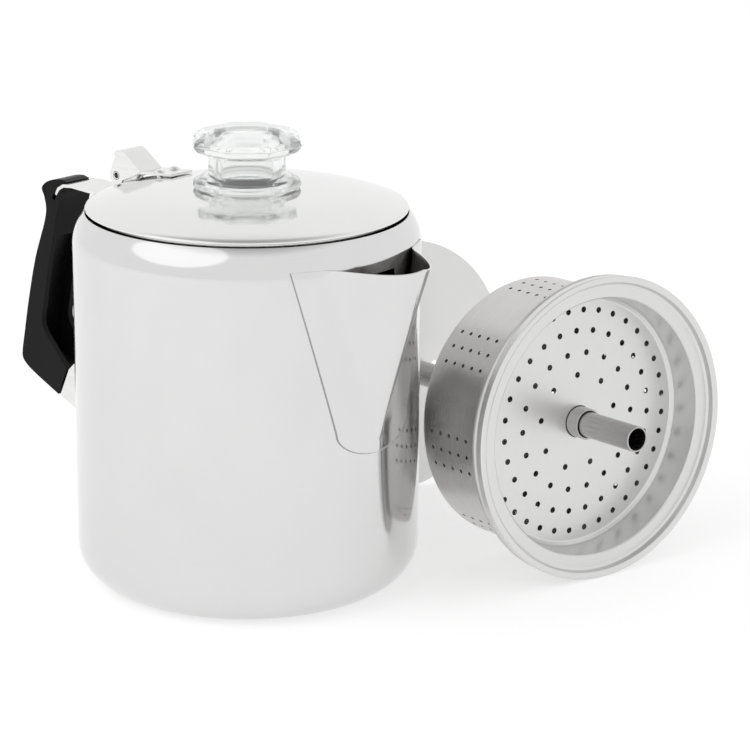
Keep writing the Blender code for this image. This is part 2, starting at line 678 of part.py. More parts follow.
def make_cover(group, cutters, finish, frame):
    plate = RIM_PLANE - PLATE_DEPTH
    top = RIM_PLANE
    well = WELL_R
    upper = [(6.4 * MM, plate), (well - 1.4 * MM, plate - PLATE_DOME)]
    upper += [(well, plate - PLATE_DOME + 1.4 * MM), (well + 1.0 * MM, top - 3.3 * MM)]
    upper += [(well + 1.6 * MM, top - FLANGE_DEPTH), (55.6 * MM, top - FLANGE_DEPTH)]
    upper += [(56.4 * MM, top - 2.1 * MM), (57.0 * MM, top - 0.3 * MM), (57.5 * MM, top)]
    upper += [(59.2 * MM, top + 0.2 * MM), (COVER_R, top - 0.3 * MM), (59.4 * MM, top - 3.4 * MM)]
    lower = [(58.9 * MM, top - 3.4 * MM), (59.1 * MM, top - 0.5 * MM), (57.7 * MM, top - 0.6 * MM)]
    lower += [(56.9 * MM, top - 2.4 * MM), (55.9 * MM, top - FLANGE_DEPTH - SHEET)]
    lower += [(well + 2.3 * MM, top - FLANGE_DEPTH - SHEET), (well + 1.6 * MM, top - 3.7 * MM)]
    lower += [(well + SHEET, plate - PLATE_DOME + 1.2 * MM)]
    lower += [(well - 1.1 * MM, plate - PLATE_DOME - SHEET), (6.4 * MM, plate - SHEET)]
    cover = turned("basket_cover", upper + lower, group, finish, frame)
    places = ring_places(COVER_RINGS, plate - 0.9 * MM)
    holes = rods("cover_holes", places, 1.2 * MM, 4 * MM, 6, cutters, frame)
    boolean(cover, holes, "DIFFERENCE")
    collar = (TUBE_R + GAP, 6.1 * MM, plate - SHEET, plate + 6.2 * MM)
    ring("cover_collar", *collar, group, finish, frame, 24)


def main():
    clear_scene()
    parts = collection("coffee_percolator")
    cutters = collection("cutters")
    finishes = {
        "steel": material("polished_steel", STEEL, 0.16, 1.0),
        "brushed": material("brushed_steel", (0.62, 0.61, 0.60), 0.34, 1.0),
        "grip": material("black_nylon", (0.012, 0.012, 0.012), 0.42),
        "glass": material("clear_knob", (0.95, 0.97, 0.96), 0.03, 0.0, 1.0),
    }
    make_pot_shell(parts, cutters, finishes["steel"])
    make_spout(parts, finishes["steel"])
    make_handle(parts, cutters, finishes)
    make_lid(parts, cutters, finishes)
    frame = unit_frame(parts)
    make_stem(parts, cutters, finishes["brushed"], frame)
    make_basket(parts, cutters, finishes["brushed"], frame)
    make_cover(parts, cutters, finishes["brushed"], frame)


main()
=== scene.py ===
"""A stainless camping percolator beside its brew unit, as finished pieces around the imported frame."""

import json
import math

import bmesh
import bpy
from mathutils import Matrix, Vector

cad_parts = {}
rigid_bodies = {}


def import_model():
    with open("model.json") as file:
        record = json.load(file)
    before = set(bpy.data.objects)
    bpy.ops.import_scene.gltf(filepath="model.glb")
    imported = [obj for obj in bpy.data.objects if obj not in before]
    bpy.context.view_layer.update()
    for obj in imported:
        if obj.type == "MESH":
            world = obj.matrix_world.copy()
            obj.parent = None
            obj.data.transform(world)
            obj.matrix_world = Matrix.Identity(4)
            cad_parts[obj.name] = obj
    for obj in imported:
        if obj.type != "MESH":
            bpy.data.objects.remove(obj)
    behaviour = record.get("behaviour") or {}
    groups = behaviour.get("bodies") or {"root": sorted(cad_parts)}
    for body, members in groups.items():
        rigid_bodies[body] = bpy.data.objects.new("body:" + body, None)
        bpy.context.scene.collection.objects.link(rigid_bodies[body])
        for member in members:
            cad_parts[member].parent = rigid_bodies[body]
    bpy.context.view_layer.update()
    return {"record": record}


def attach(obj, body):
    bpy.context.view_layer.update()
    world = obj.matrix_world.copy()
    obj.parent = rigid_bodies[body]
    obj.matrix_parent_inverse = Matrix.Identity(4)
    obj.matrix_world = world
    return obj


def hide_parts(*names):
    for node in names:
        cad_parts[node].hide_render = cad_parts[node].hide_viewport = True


MM = 0.001
TURN = 2.0 * math.pi
ROUND_STEPS = 240
SMALL_STEPS = 96
GAP = 0.3

for old in list(bpy.data.objects):
    bpy.data.objects.remove(old, do_unlink=True)
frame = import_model()
BODY_OF = {}
for body, members in frame["record"]["behaviour"]["bodies"].items():
    for member in members:
        BODY_OF[member] = body

# ---------------------------------------------------------------- mesh helpers


def in_metres(points):
    return [(x * MM, z * MM) for x, z in points]


def rounded(points, closed=True):
    """Turns corners given as (x, z, radius) into arcs. Corners given as (x, z) stay sharp."""
    out = []
    count = len(points)
    for i, corner in enumerate(points):
        if len(corner) < 3 or (not closed and i in (0, count - 1)):
            out.append(tuple(corner[:2]))
            continue
        here = Vector(corner[:2])
        before = (Vector(points[i - 1][:2]) - here).normalized()
        after = (Vector(points[(i + 1) % count][:2]) - here).normalized()
        half = math.acos(max(-1.0, min(1.0, before.dot(after)))) / 2
        centre = here + (before + after).normalized() * corner[2] / math.sin(half)
        start = here + before * corner[2] / math.tan(half) - centre
        end = here + after * corner[2] / math.tan(half) - centre
        first = math.atan2(start.y, start.x)
        sweep = (math.atan2(end.y, end.x) - first + math.pi) % TURN - math.pi
        steps = max(3, math.ceil(abs(sweep) / math.radians(14.0)))
        for k in range(steps + 1):
            a = first + sweep * k / steps
            out.append((centre.x + corner[2] * math.cos(a), centre.y + corner[2] * math.sin(a)))
    return out


def arc(centre, radius, start, end, steps):
    """Points (r, z) on an arc, angles in degrees from +r towards +z."""
    points = []
    for i in range(steps + 1):
        a = math.radians(start + (end - start) * i / steps)
        points.append((centre[0] + radius * math.cos(a), centre[1] + radius * math.sin(a)))
    return points


def curve_through(points, breaks, per=6):
    """A smooth closed line through the points, with a corner at each index in breaks."""
    out = []
    count = len(points)
    for i in range(count):
        p1 = Vector(points[i])
        p2 = Vector(points[(i + 1) % count])
        p0 = p1 * 2 - p2 if i in breaks else Vector(points[i - 1])
        p3 = p2 * 2 - p1 if (i + 1) % count in breaks else Vector(points[(i + 2) % count])
        t1 = (p2 - p0).normalized() * (p2 - p1).length
        t2 = (p3 - p1).normalized() * (p2 - p1).length
        for k in range(per):
            t = k / per
            h1 = 2 * t**3 - 3 * t**2 + 1
            h2 = t**3 - 2 * t**2 + t
            h3 = 3 * t**2 - 2 * t**3
            h4 = t**3 - t**2
            out.append(tuple(p1 * h1 + t1 * h2 + p2 * h3 + t2 * h4))
    return out


def mesh_object(name, work):
    bmesh.ops.recalc_face_normals(work, faces=work.faces)
    mesh = bpy.data.meshes.new(name)
    work.to_mesh(mesh)
    work.free()
    obj = bpy.data.objects.new(name, mesh)
    bpy.context.scene.collection.objects.link(obj)
    return obj


def lathe(name, profile, steps, closed=True):
    """A profile in mm turned about local Z. An open profile starts and ends on the axis."""
    work = bmesh.new()
    rings = []
    for r, z in in_metres(profile):
        if r < 1e-7:
            rings.append([work.verts.new((0.0, 0.0, z))] * steps)
            continue
        ring = []
        for k in range(steps):
            a = TURN * k / steps
            ring.append(work.verts.new((r * math.cos(a), r * math.sin(a), z)))
        rings.append(ring)
    pairs = list(zip(rings, rings[1:]))
    if closed:
        pairs.append((rings[-1], rings[0]))
    for low, high in pairs:
        for k in range(steps):
            n = (k + 1) % steps
            corners = []
            for vert in (low[k], low[n], high[n], high[k]):
                if vert not in corners:
                    corners.append(vert)
            if len(corners) > 2:
                work.faces.new(corners)
    return mesh_object(name, work)


def prism(name, outline, half):
    """An outline of (x, z) in metres, extruded along Y."""
    work = bmesh.new()
    near = [work.verts.new((x, -half, z)) for x, z in outline]
    face = work.faces.new(near)
    made = bmesh.ops.extrude_face_region(work, geom=[face])
    moved = [v for v in made["geom"] if isinstance(v, bmesh.types.BMVert)]
    bmesh.ops.translate(work, verts=moved, vec=(0.0, 2 * half, 0.0))
    return mesh_object(name, work)


def block(name, size, centre):
    work = bmesh.new()
    place = Matrix.Translation(centre) @ Matrix.Diagonal((*size, 1.0))
    bmesh.ops.create_cube(work, size=1.0, matrix=place)
    return mesh_object(name, work)


def rods(name, places, radius, depth, sides):
    """Many small cylinders in one mesh; each place is a matrix whose Z is the cylinder's axis."""
    work = bmesh.new()
    for place in places:
        bmesh.ops.create_cone(
            work, cap_ends=True, segments=sides, radius1=radius, radius2=radius, depth=depth, matrix=place
        )
    return mesh_object(name, work)


def apply_modifiers(obj):
    bpy.context.view_layer.update()
    graph = bpy.context.evaluated_depsgraph_get()
    mesh = bpy.data.meshes.new_from_object(obj.evaluated_get(graph))
    obj.modifiers.clear()
    obj.data = mesh
    return obj


def combine(obj, other, operation="DIFFERENCE"):
    """Cuts the other object away, or joins it on, and removes it."""
    modifier = obj.modifiers.new("Bool", "BOOLEAN")
    modifier.operation = operation
    modifier.solver = "EXACT"
    modifier.object = other
    apply_modifiers(obj)
    bpy.data.objects.remove(other, do_unlink=True)
    return obj


def soften(obj, width, segments, angle=35.0):
    """Rounds the edges sharper than an angle."""
    modifier = obj.modifiers.new("Soft", "BEVEL")
    modifier.width = width
    modifier.segments = segments
    modifier.limit_method = "ANGLE"
    modifier.angle_limit = math.radians(angle)
    modifier.use_clamp_overlap = True
    return apply_modifiers(obj)


def shade(obj, angle=38.0, weighted=True):
    obj.data.shade_smooth()
    obj.data.set_sharp_from_angle(angle=math.radians(angle))
    if weighted:
        modifier = obj.modifiers.new("Normals", "WEIGHTED_NORMAL")
        modifier.keep_sharp = True
        modifier.weight = 60
        apply_modifiers(obj)
    return obj


def piece(obj, node, finish, stands=True):
    """Finishes a piece: its material, the body it rides on and the node it stands for."""
    obj.data.materials.clear()
    obj.data.materials.append(finish)
    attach(obj, BODY_OF[node])
    if stands:
        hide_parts(node)
    return obj


# ---------------------------------------------------------------- materials


def new_material(name, colour, roughness, metallic=0.0):
    made = bpy.data.materials.new(name)
    made.use_nodes = True
    shader = made.node_tree.nodes["Principled BSDF"]
    shader.inputs["Base Color"].default_value = (*colour, 1.0)
    shader.inputs["Roughness"].default_value = roughness
    shader.inputs["Metallic"].default_value = metallic
    return made, made.node_tree, shader


def noise(tree, vector, scale, detail, roughness=0.5):
    node = tree.nodes.new("ShaderNodeTexNoise")
    node.inputs["Scale"].default_value = scale
    node.inputs["Detail"].default_value = detail
    node.inputs["Roughness"].default_value = roughness
    tree.links.new(vector, node.inputs["Vector"])
    return node.outputs["Fac"]


def remap(tree, value, low, high, start=0.3, end=0.7):
    node = tree.nodes.new("ShaderNodeMapRange")
    node.inputs["From Min"].default_value = start
    node.inputs["From Max"].default_value = end
    node.inputs["To Min"].default_value = low
    node.inputs["To Max"].default_value = high
    tree.links.new(value, node.inputs["Value"])
    return node.outputs["Result"]


def stretched(tree, scale):
    """Object coordinates scaled along each axis."""
    coordinates = tree.nodes.new("ShaderNodeTexCoord")
    mapping = tree.nodes.new("ShaderNodeMapping")
    mapping.inputs["Scale"].default_value = scale
    tree.links.new(coordinates.outputs["Object"], mapping.inputs["Vector"])
    return mapping.outputs["Vector"]


def round_coordinates(tree, around, across):
    """Coordinates about local Z: long along the turning direction and fine across it."""
    coordinates = tree.nodes.new("ShaderNodeTexCoord")
    split = tree.nodes.new("ShaderNodeSeparateXYZ")
    tree.links.new(coordinates.outputs["Object"], split.inputs["Vector"])
    flat = tree.nodes.new("ShaderNodeVectorMath")
    flat.operation = "MULTIPLY"
    flat.inputs[1].default_value = (1.0, 1.0, 0.0)
    tree.links.new(coordinates.outputs["Object"], flat.inputs[0])
    length = tree.nodes.new("ShaderNodeVectorMath")
    length.operation = "LENGTH"
    tree.links.new(flat.outputs["Vector"], length.inputs[0])
    unit = tree.nodes.new("ShaderNodeVectorMath")
    unit.operation = "NORMALIZE"
    tree.links.new(flat.outputs["Vector"], unit.inputs[0])
    circle = tree.nodes.new("ShaderNodeVectorMath")
    circle.operation = "SCALE"
    circle.inputs["Scale"].default_value = around
    tree.links.new(unit.outputs["Vector"], circle.inputs[0])
    total = tree.nodes.new("ShaderNodeMath")
    total.operation = "ADD"
    tree.links.new(length.outputs["Value"], total.inputs[0])
    tree.links.new(split.outputs["Z"], total.inputs[1])
    fine = tree.nodes.new("ShaderNodeMath")
    fine.operation = "MULTIPLY"
    fine.inputs[1].default_value = across
    tree.links.new(total.outputs["Value"], fine.inputs[0])
    lift = tree.nodes.new("ShaderNodeCombineXYZ")
    tree.links.new(fine.outputs["Value"], lift.inputs["Z"])
    joined = tree.nodes.new("ShaderNodeVectorMath")
    joined.operation = "ADD"
    tree.links.new(circle.outputs["Vector"], joined.inputs[0])
    tree.links.new(lift.outputs["Vector"], joined.inputs[1])
    return joined.outputs["Vector"]


def bump(tree, shader, height, distance, strength=1.0):
    node = tree.nodes.new("ShaderNodeBump")
    node.inputs["Distance"].default_value = distance
    node.inputs["Strength"].default_value = strength
    tree.links.new(height, node.inputs["Height"])
    tree.links.new(node.outputs["Normal"], shader.inputs["Normal"])


def tint(tree, shader, value, dark, light):
    ramp = tree.nodes.new("ShaderNodeMix")
    ramp.data_type = "RGBA"
    ramp.inputs["A"].default_value = (*dark, 1.0)
    ramp.inputs["B"].default_value = (*light, 1.0)
    tree.links.new(value, ramp.inputs["Factor"])
    tree.links.new(ramp.outputs["Result"], shader.inputs["Base Color"])


def steel(name, roughness, dark, light, around, across, depth):
    """Sheet steel with fine marks that run round the local Z axis, and soft cloudy wear."""
    made, tree, shader = new_material(name, light, roughness[0], 1.0)
    lines = noise(tree, round_coordinates(tree, around, across), 1.0, 4.0, 0.6)
    cloud = noise(tree, stretched(tree, (38.0, 38.0, 26.0)), 1.0, 4.0, 0.55)
    mixed = tree.nodes.new("ShaderNodeMath")
    mixed.operation = "MULTIPLY_ADD"
    mixed.inputs[1].default_value = 0.5
    tree.links.new(lines, mixed.inputs[0])
    half = tree.nodes.new("ShaderNodeMath")
    half.operation = "MULTIPLY"
    half.inputs[1].default_value = 0.5
    tree.links.new(cloud, half.inputs[0])
    tree.links.new(half.outputs["Value"], mixed.inputs[2])
    tree.links.new(remap(tree, mixed.outputs["Value"], *roughness), shader.inputs["Roughness"])
    tint(tree, shader, remap(tree, mixed.outputs["Value"], 0.0, 1.0), dark, light)
    bump(tree, shader, lines, depth)
    return made


def flat_steel(name, roughness, colour, scale, depth):
    """Satin steel with straight brushing along the axis where scale is smallest."""
    made, tree, shader = new_material(name, colour, roughness, 1.0)
    grain = noise(tree, stretched(tree, scale), 1.0, 4.0, 0.6)
    tree.links.new(remap(tree, grain, roughness - 0.05, roughness + 0.08), shader.inputs["Roughness"])
    dark = tuple(c * 0.9 for c in colour)
    tint(tree, shader, remap(tree, grain, 0.0, 1.0), dark, colour)
    bump(tree, shader, grain, depth)
    return made


def nylon(name):
    """Moulded black nylon: fine matt grain, slightly worn lighter patches."""
    made, tree, shader = new_material(name, (0.012, 0.012, 0.012), 0.42)
    shader.inputs["Specular IOR Level"].default_value = 0.12
    grain = noise(tree, stretched(tree, (3200.0, 3200.0, 3200.0)), 1.0, 2.0)
    cloud = noise(tree, stretched(tree, (60.0, 60.0, 30.0)), 1.0, 3.0)
    tree.links.new(remap(tree, cloud, 0.34, 0.5), shader.inputs["Roughness"])
    tint(tree, shader, remap(tree, cloud, 0.0, 1.0), (0.003, 0.003, 0.003), (0.006, 0.006, 0.006))
    bump(tree, shader, grain, 0.00002, 0.35)
    return made


def clear(name):
    """Clear pressed glass with faint flow ripples."""
    made, tree, shader = new_material(name, (0.985, 1.0, 0.992), 0.0)
    shader.inputs["Transmission Weight"].default_value = 0.9
    shader.inputs["IOR"].default_value = 1.3
    ripple = noise(tree, stretched(tree, (95.0, 95.0, 140.0)), 1.0, 2.0)
    tree.links.new(remap(tree, ripple, 0.04, 0.16), shader.inputs["Roughness"])
    bump(tree, shader, ripple, 0.00004, 0.5)
    return made


# Dark steel for the spout's inside faces and the hinge strap's underside: painted shade and a painted
# shadow, darker than the steel really is.
PAINTED_SHADE_STEEL = steel(
    "painted_shade_steel", (0.22, 0.34), (0.10, 0.095, 0.09), (0.2, 0.195, 0.19), 1.2, 5200.0, 1e-6
)
SEAM_STEEL = steel("seam_steel", (0.3, 0.4), (0.3, 0.3, 0.3), (0.42, 0.42, 0.42), 1.2, 5200.0, 1e-6)
POLISHED = steel(
    "polished_steel", (0.09, 0.13), (0.675, 0.68, 0.675), (0.71, 0.713, 0.708), 1.2, 9000.0, 1e-7
)
LID_STEEL = steel(
    "lid_steel", (0.09, 0.13), (0.765, 0.765, 0.76), (0.80, 0.80, 0.795), 1.5, 9000.0, 3e-7
)
BRUSHED = steel(
    "brushed_steel", (0.24, 0.36), (0.50, 0.485, 0.475), (0.66, 0.65, 0.64), 1.6, 4200.0, 3e-6
)
COVER_STEEL = steel(
    "cover_steel", (0.3, 0.35), (0.68, 0.68, 0.675), (0.71, 0.71, 0.705), 2.0, 6000.0, 4e-7
)
TUBE_STEEL = flat_steel("tube_steel", 0.22, (0.5, 0.49, 0.48), (5000.0, 5000.0, 60.0), 2.5e-6)
BRACKET = flat_steel("bracket_steel", 0.2, (0.82, 0.82, 0.81), (90.0, 5200.0, 900.0), 2e-6)
NYLON = nylon("black_nylon")
CLEAR = clear("clear_knob")

# ---------------------------------------------------------------- pot

POT_R = 66.0
WALL = 0.6
CORNER_R = 16.0
SHOULDER_Z = 132.35
SHOULDER_R = 18.47
MOUTH_R = 61.3
LIP_TURN = 0.6
POUR_OUTLINE = ((-14.0, 96.0), (14.0, 96.0), (9.0, 131.5), (-9.0, 131.5))


def shoulder_radius(z):
    """The pot's outer radius at a height, in mm."""
    rise = max(0.0, z - SHOULDER_Z)
    return POT_R - SHOULDER_R + math.sqrt(max(0.0, SHOULDER_R**2 - rise**2))


def make_pot():
    centre = (POT_R - SHOULDER_R, SHOULDER_Z)
    end = math.degrees(math.acos((MOUTH_R - centre[0]) / SHOULDER_R))
    base = (POT_R - CORNER_R, CORNER_R)
    inside = [(0.0, WALL), (20.0, WALL), (40.0, WALL)]
    inside += arc(base, CORNER_R - WALL, -90.0, 0.0, 24)
    inside += [(POT_R - WALL, z) for z in (40.0, 65.0, 90.0, 115.0)]
    inside += arc(centre, SHOULDER_R - WALL, 0.0, end - LIP_TURN, 16)
    outside = arc(centre, SHOULDER_R, end - LIP_TURN, 0.0, 16)
    outside += [(POT_R, z) for z in (115.0, 90.0, 65.0, 40.0)]
    outside += arc(base, CORNER_R, 0.0, -90.0, 24)
    outside += [(40.0, 0.0), (20.0, 0.0), (0.0, 0.0)]
    lip_in = inside[-1]
    lip_out = outside[0]
    middle = ((lip_in[0] + lip_out[0]) / 2, (lip_in[1] + lip_out[1]) / 2)
    lip = arc(middle, WALL / 2, end + 172.0, end + 8.0, 8)
    shell = lathe("pot_body", inside + lip + outside, ROUND_STEPS, closed=False)
    opening = prism("pour_cut", in_metres(POUR_OUTLINE), 10.0 * MM)
    opening.matrix_world = Matrix.Translation((POT_R * MM, 0, 0)) @ Matrix.Rotation(math.pi / 2, 4, "Z")
    combine(shell, opening)
    shade(shell, 38.0, weighted=False)
    piece(shell, "pot_shell", POLISHED)


SEAM_LOW_Z = 74.0
SEAM_DROP = 10.5
SEAM_LOW_ANGLE = 17.3
SEAM_TOP_Z = 136.0
SEAM_TOP_ANGLE = 33.0
NOSE_LOW_Z = 68.0
NOSE_TOP = (86.9, 136.3)
CONTACT_LOW_ANGLE = 2.0
CONTACT_TOP_ANGLE = 20.0
FREE_SHARE = 0.7
NOSE_CURVE = 1.06
NOSE_ROUNDING = (0.3, 0.92)
EDGE_DIP = 1.3
SPOUT_SHEET = 0.6
SPOUT_LIFT = 0.05


def seam_angle(z):
    """Half-angle, in degrees, of the spout's seam at a height."""
    slope = (SEAM_TOP_ANGLE - SEAM_LOW_ANGLE) / (SEAM_TOP_Z - SEAM_LOW_Z)
    if z >= SEAM_LOW_Z:
        return SEAM_LOW_ANGLE + slope * (z - SEAM_LOW_Z)
    depth = min(1.0, (SEAM_LOW_Z - z) / SEAM_DROP)
    return SEAM_LOW_ANGLE * math.sqrt(1.0 - depth**2)


def contact_angle(z):
    """Half-angle, in degrees, at which the spout's sheet leaves the pot's wall."""
    rise = max(0.0, z - SEAM_LOW_Z) / (SEAM_TOP_Z - SEAM_LOW_Z)
    widest = CONTACT_LOW_ANGLE + (CONTACT_TOP_ANGLE - CONTACT_LOW_ANGLE) * rise
    return min(seam_angle(z), widest)


def spout_section(z, share):
    """The point (x, y) of the spout's inner face at a height, from the nose (0) to the seam (1)."""
    rise = max(0.0, z - NOSE_LOW_Z) / (NOSE_TOP[1] - NOSE_LOW_Z)
    nose = POT_R + GAP + (NOSE_TOP[0] - POT_R - GAP) * rise**NOSE_CURVE
    foot = shoulder_radius(z) + SPOUT_LIFT
    angle = math.radians(contact_angle(z))
    if share > FREE_SHARE:
        spare = math.radians(seam_angle(z) - contact_angle(z))
        angle += spare * (share - FREE_SHARE) / (1.0 - FREE_SHARE)
        return Vector((foot * math.cos(angle), foot * math.sin(angle)))
    share = share / FREE_SHARE
    seam = Vector((foot * math.cos(angle), foot * math.sin(angle)))
    rounding = NOSE_ROUNDING[0] + (NOSE_ROUNDING[1] - NOSE_ROUNDING[0]) * rise**4
    corner = Vector(((nose - seam.x * rounding / 2) / (1.0 - rounding / 2), 0.0))
    start = corner.lerp(seam, rounding)
    if share >= rounding:
        point = start.lerp(seam, (share - rounding) / (1.0 - rounding))
    else:
        t = 0.5 + 0.5 * share / rounding
        mirror = Vector((start.x, -start.y))
        point = (1 - t) ** 2 * mirror + 2 * t * (1 - t) * corner + t**2 * start
    if point.length < foot:
        point = point.normalized() * foot
    return point


def spout_top(share):
    """Height of the spout's top edge, from the nose (0) to the seam (1)."""
    level = NOSE_TOP[1] + (SEAM_TOP_Z - NOSE_TOP[1]) * share
    free = min(1.0, share / FREE_SHARE)
    return level - EDGE_DIP * math.sin(math.pi * free) * (1.0 - free / 2)


def spout_grid(across, up):
    """Rows of points (mm) of the spout's inner face, from its rounded foot to its lip."""
    rows = []
    for j in range(up + 1):
        row = []
        for i in range(across + 1):
            u = 2.0 * i / across - 1.0
            low = SEAM_LOW_Z - SEAM_DROP * math.sqrt(1.0 - u**2)
            z = low + (spout_top(abs(u)) - low) * (j / up) ** 1.15
            outline = seam_angle(z)
            nominal = max(outline, SEAM_LOW_ANGLE) * abs(u)
            share = 1.0 if outline < 0.01 else min(1.0, nominal / outline)
            point = spout_section(z, share)
            row.append(Vector((point.x, math.copysign(point.y, u), z)))
        rows.append(row)
    return rows


def paint_inner_shade(obj, centre):
    """Gives the faces that look towards an upright axis (x, y) in mm the dark steel, as painted shade on the
    spout's inside.
    """
    obj.data.materials.append(PAINTED_SHADE_STEEL)
    for face in obj.data.polygons:
        out = face.center.xy - centre * MM
        if face.normal.xy.dot(out) < -0.3 * out.length:
            face.material_index = 1


def ease_creases(rows, across, passes=6, reach=4):
    """Rounds the two lines where the sheet leaves the pot's wall."""
    crease = round(across / 2 * (1.0 - FREE_SHARE))
    for row in rows:
        for _ in range(passes):
            for middle in (crease, across - crease):
                for i in range(middle - reach, middle + reach + 1):
                    row[i] = (row[i - 1] + row[i] * 2 + row[i + 1]) / 4


def make_spout():
    across = 100
    rows = spout_grid(across, 72)
    ease_creases(rows, across)
    work = bmesh.new()
    verts = [[work.verts.new(p * MM) for p in row] for row in rows]
    for low, high in zip(verts, verts[1:]):
        for i in range(across):
            work.faces.new((low[i], low[i + 1], high[i + 1], high[i]))
    bmesh.ops.remove_doubles(work, verts=work.verts, dist=0.00002)
    spout = mesh_object("pot_spout", work)
    middle = max(spout.data.polygons, key=lambda face: face.center.x)
    sheet = spout.modifiers.new("Sheet", "SOLIDIFY")
    sheet.thickness = SPOUT_SHEET * MM
    sheet.offset = 1.0 if middle.normal.x > 0 else -1.0
    sheet.use_even_offset = True
    apply_modifiers(spout)
    soften(spout, 0.18 * MM, 2, 60.0)
    shade(spout, 50.0, weighted=False)
    piece(spout, "spout", POLISHED)
    # The spout's inside faces get the dark steel: painted shade.
    paint_inner_shade(spout, Vector((POT_R, 0.0)))
    make_weld([row[0] for row in reversed(rows)] + rows[0] + [row[-1] for row in rows])


def make_weld(seam, spacing=0.6):
    """The thin line of weld around the spout's foot and sides."""
    line = [seam[0]]
    for point in seam[1:]:
        if (point - line[-1]).length > spacing:
            line.append(point)
    weld = tube_along("spout_weld", line, 0.4)
    piece(weld, "spout", SEAM_STEEL, stands=False)


def tube_along(name, line, radius, sides=8):
    """A thin closed tube along a line of points in mm."""
    work = bmesh.new()
    rings = []
    for i, point in enumerate(line):
        along = (line[min(i + 1, len(line) - 1)] - line[max(i - 1, 0)]).normalized()
        out = Vector((point.x, point.y, 0.0)).normalized()
        side = along.cross(out).normalized()
        top = side.cross(along).normalized()
        ring = []
        for k in range(sides):
            a = TURN * k / sides
            offset = (side * math.cos(a) + top * math.sin(a)) * radius
            ring.append(work.verts.new((point + offset) * MM))
        rings.append(ring)
    for low, high in zip(rings, rings[1:]):
        for k in range(sides):
            work.faces.new((low[k], low[(k + 1) % sides], high[(k + 1) % sides], high[k]))
    work.faces.new(rings[0])
    work.faces.new(rings[-1])
    return shade(mesh_object(name, work), 60.0, weighted=False)


# ---------------------------------------------------------------- handle

GRIP_OUTLINE = (
    (104.6, 138.6), (103.2, 135.0), (102.3, 130.0), (103.5, 124.5), (105.6, 119.0),
    (109.6, 108.0), (113.9, 91.0), (116.8, 77.0), (118.6, 67.0), (117.6, 64.4),
    (113.0, 61.2), (97.6, 54.0), (92.4, 65.6), (99.0, 72.5), (106.0, 81.0),
    (105.0, 91.0), (101.6, 108.0), (98.8, 119.0), (96.6, 128.0), (94.8, 134.5),
    (93.4, 138.4), (92.6, 142.0), (96.0, 142.6), (102.4, 141.2),
)
GRIP_BREAKS = (11, 12, 21)
GRIP_POCKET = (
    (80.0, 119.0), (102.4, 119.0), (103.8, 115.0), (107.0, 107.0), (111.2, 91.0),
    (113.8, 77.0), (115.0, 69.0), (112.0, 65.0), (99.5, 58.5), (96.5, 65.0), (80.0, 72.0),
)
GRIP_HALF = 8.5
STRAP_LINE = ((97.0, 136.6), (95.4, 139.2), (92.6, 140.8), (88.0, 141.3), (78.0, 140.8))
STRAP_HALF = 8.0
STRAP_THICK = 1.3
TAB_HALF = 5.4
TANG_LINE = ((96.4, 137.6), (99.0, 134.0), (99.9, 130.0), (99.9, 122.0))
PIN = (-64.5, 149.0)
UPPER_SCREW = (104.1, 127.0)
LOWER_SCREW = (105.6, 56.9)
SCREW_LENGTHS = (5.6, 8.6)
SCREW_HOLE_R = 2.3
PIN_HOLE_R = 1.7
SLOT_ROOM = 0.4
FOOT_TILT = math.radians(65.0)
CROWN_Z = 137.5
CROWN_HEIGHT = 4.5
CROWN_TAPER = 0.3


def handle_side(points):
    """Outline points given as (distance from the pot's axis, z, ...), on the handle's side."""
    return [(-p[0], *p[1:]) for p in points]


def band(points, thickness):
    """A closed outline of even thickness along a line of (x, z) points."""
    left = []
    right = []
    for i, (x, z) in enumerate(points):
        before = points[max(i - 1, 0)]
        after = points[min(i + 1, len(points) - 1)]
        along = Vector((after[0] - before[0], after[1] - before[1])).normalized()
        side = Vector((-along.y, along.x)) * thickness / 2
        left.append((x + side.x, z + side.y))
        right.append((x - side.x, z - side.y))
    return left + right[::-1]


def screw_place(point, tilt):
    """Where a screw's head sits, at (distance from the pot's axis, z), with its shank tilted."""
    where = Matrix.Translation((-point[0] * MM, 0.0, point[1] * MM))
    return where @ Matrix.Rotation(-math.pi / 2 - tilt, 4, "Y")


def make_grip(places):
    outline = curve_through(handle_side(GRIP_OUTLINE), GRIP_BREAKS)
    grip = prism("grip_moulding", in_metres(outline), GRIP_HALF * MM)
    pocket = rounded([(*p, 1.2) for p in handle_side(GRIP_POCKET)])
    hollow = prism("pocket", in_metres(pocket), (GRIP_HALF - 2.4) * MM)
    combine(grip, soften(hollow, 0.6 * MM, 2, 50.0))
    path = handle_side(((98.0, 134.6), *STRAP_LINE))
    combine(grip, prism("strap_slot", in_metres(band(path, STRAP_THICK + SLOT_ROOM)), 12.0 * MM))
    tang = band(handle_side((*TANG_LINE[:-1], (99.9, 121.6))), STRAP_THICK + SLOT_ROOM)
    combine(grip, prism("tang_slot", in_metres(tang), (TAB_HALF + GAP) * MM))
    tongue = band(handle_side(((86.0, 55.4), (111.0, 67.1))), STRAP_THICK + SLOT_ROOM)
    combine(grip, prism("tongue_slot", in_metres(tongue), (TAB_HALF + GAP) * MM))
    for place, length in zip(places, SCREW_LENGTHS):
        combine(grip, rods("drill", [place], SCREW_HOLE_R * MM, 2 * (length + 0.4) * MM, 32))
    soften(grip, 0.7 * MM, 3, 50.0)
    for vert in grip.data.vertices:
        rise = max(0.0, min(1.0, (vert.co.z / MM - CROWN_Z) / CROWN_HEIGHT))
        vert.co.y *= 1.0 - CROWN_TAPER * rise * rise
    shade(grip, 30.0)
    piece(grip, "handle_grip", NYLON)


